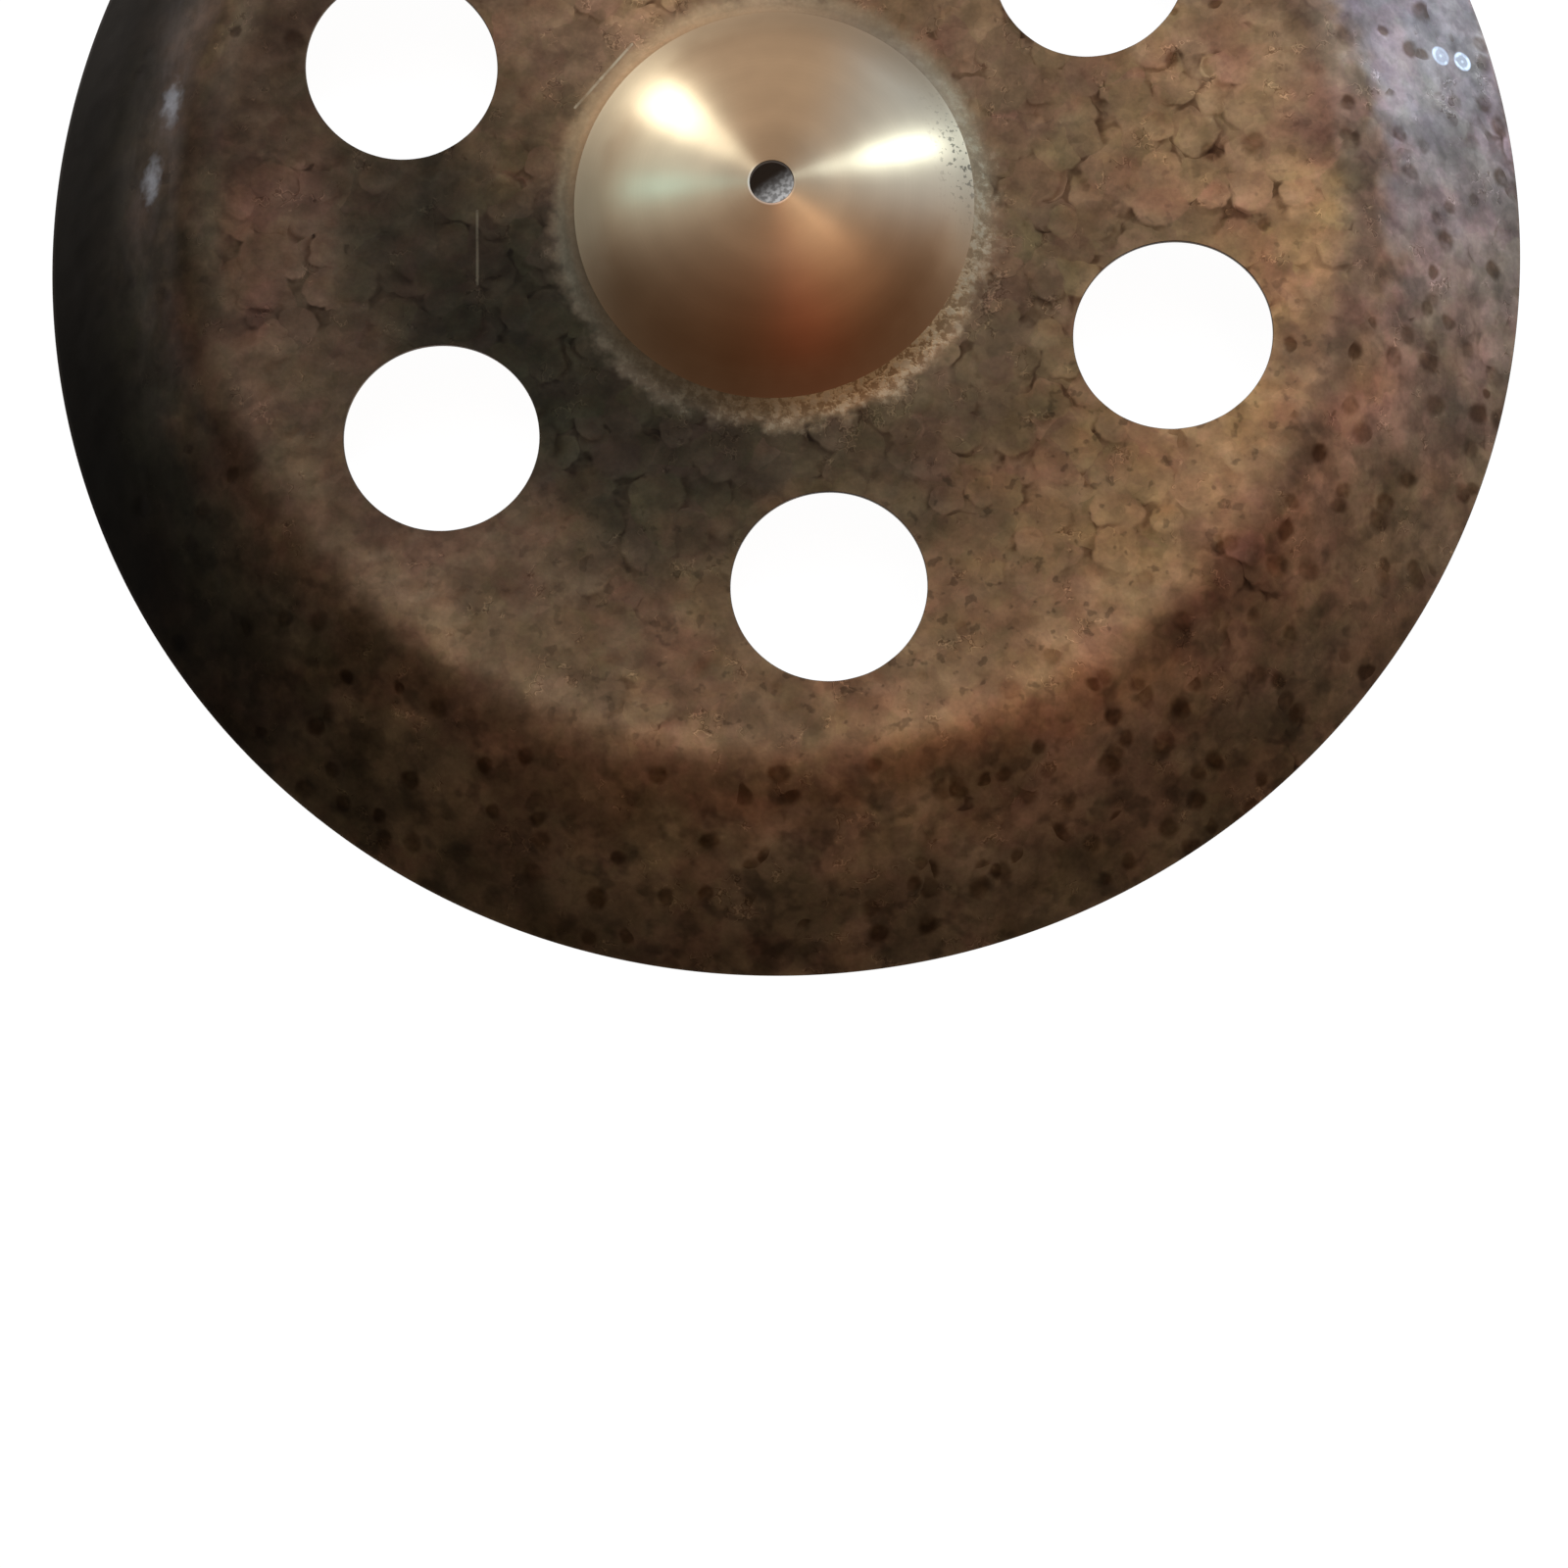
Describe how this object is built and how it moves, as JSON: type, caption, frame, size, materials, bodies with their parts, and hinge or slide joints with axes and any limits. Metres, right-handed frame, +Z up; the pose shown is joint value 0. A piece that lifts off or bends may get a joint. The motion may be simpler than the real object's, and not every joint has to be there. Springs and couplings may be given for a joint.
{
  "type": "china cymbal",
  "caption": "Hand-hammered bronze china cymbal with an inverted bell, a turned flange, a mounting hole and a ring of large sound holes.",
  "frame": {"origin": "centre of the plane on which the rim rests, under the middle of the mounting hole", "axes": "+Z up along the cymbal's axis, out of the convex side of the bell; +X to the right and +Y away from the viewer in the picture"},
  "size_m": [0.4572, 0.4572, 0.04],
  "materials": {
    "bronze": "dark brown fired and hammered patina over bronze, with the bell lathed to a satin shine"
  },
  "bodies": {
    "root": {"cymbal": "bronze"}
  },
  "joints": []
}
